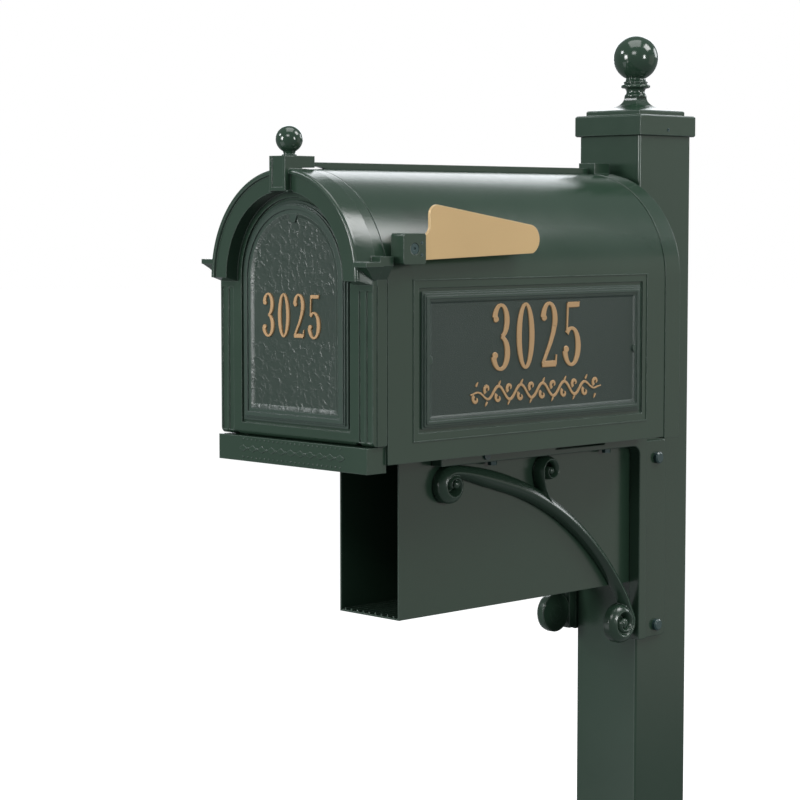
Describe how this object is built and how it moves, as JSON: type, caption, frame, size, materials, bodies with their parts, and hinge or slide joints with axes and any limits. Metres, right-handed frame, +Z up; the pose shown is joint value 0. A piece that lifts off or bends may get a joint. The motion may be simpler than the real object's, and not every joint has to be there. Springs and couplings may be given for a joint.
{
  "type": "post box",
  "caption": "Arched-top mailbox with a drop-down front door and a signal flag, above a newspaper box, on scroll brackets and a square post with a ball finial.",
  "frame": {"origin": "centre of the post's foot at ground level", "axes": "+Z up along the post; the door faces -Y; the flag is on the +X side"},
  "size_m": [0.2915, 0.6732, 1.577],
  "materials": {
    "green_coat": "satin dark-green powder coat on cast aluminium",
    "dark_field": "dark-green powder coat on pebbled cast aluminium",
    "dark_screws": "dark-green painted fasteners",
    "steel": "plain stainless steel",
    "gold_coat": "satin bronze-gold powder coat"
  },
  "bodies": {
    "stand": {"post_tube": "green_coat", "post_cap": "green_coat", "finial": "green_coat", "bracket_right": "green_coat", "bracket_left": "green_coat", "mailbox_body": "green_coat", "rear_panel": "green_coat", "ridge_rail": "green_coat", "newspaper_box": "green_coat", "mounting_plate": "green_coat", "side_plaque_right": "dark_field", "side_plaque_left": "dark_field", "cap_set_screws": "dark_screws", "plate_bolts": "dark_screws", "plate_nuts": "dark_screws", "flag_bolt": "dark_screws", "bracket_bolts": "dark_screws", "bracket_nuts": "dark_screws", "rear_panel_screws": "dark_screws", "newspaper_screws": "dark_screws", "finial_stud": "steel", "rail_screws": "steel", "latch_strike": "steel", "side_plaque_screws": "steel", "hinge_pins": "steel", "flag_washer": "steel", "flag_nut": "steel"},
    "door_leaf": {"door": "green_coat", "door_plaque": "dark_field", "door_plaque_screws": "steel", "door_knob": "green_coat", "latch_magnet": "steel"},
    "flag": {"flag_hub": "green_coat", "flag_blade": "gold_coat", "flag_rivets": "dark_screws"}
  },
  "joints": [
    {"name": "door_hinge", "type": "hinge", "parent": "stand", "child": "door_leaf", "pos_m": [0, -0.586, 1.0977], "axis": [1, 0, 0], "range_deg": [0, 90]},
    {"name": "flag_pivot", "type": "hinge", "parent": "stand", "child": "flag", "pos_m": [0.141, -0.5505, 1.308], "axis": [1, 0, 0], "range_deg": [0, 90]}
  ]
}
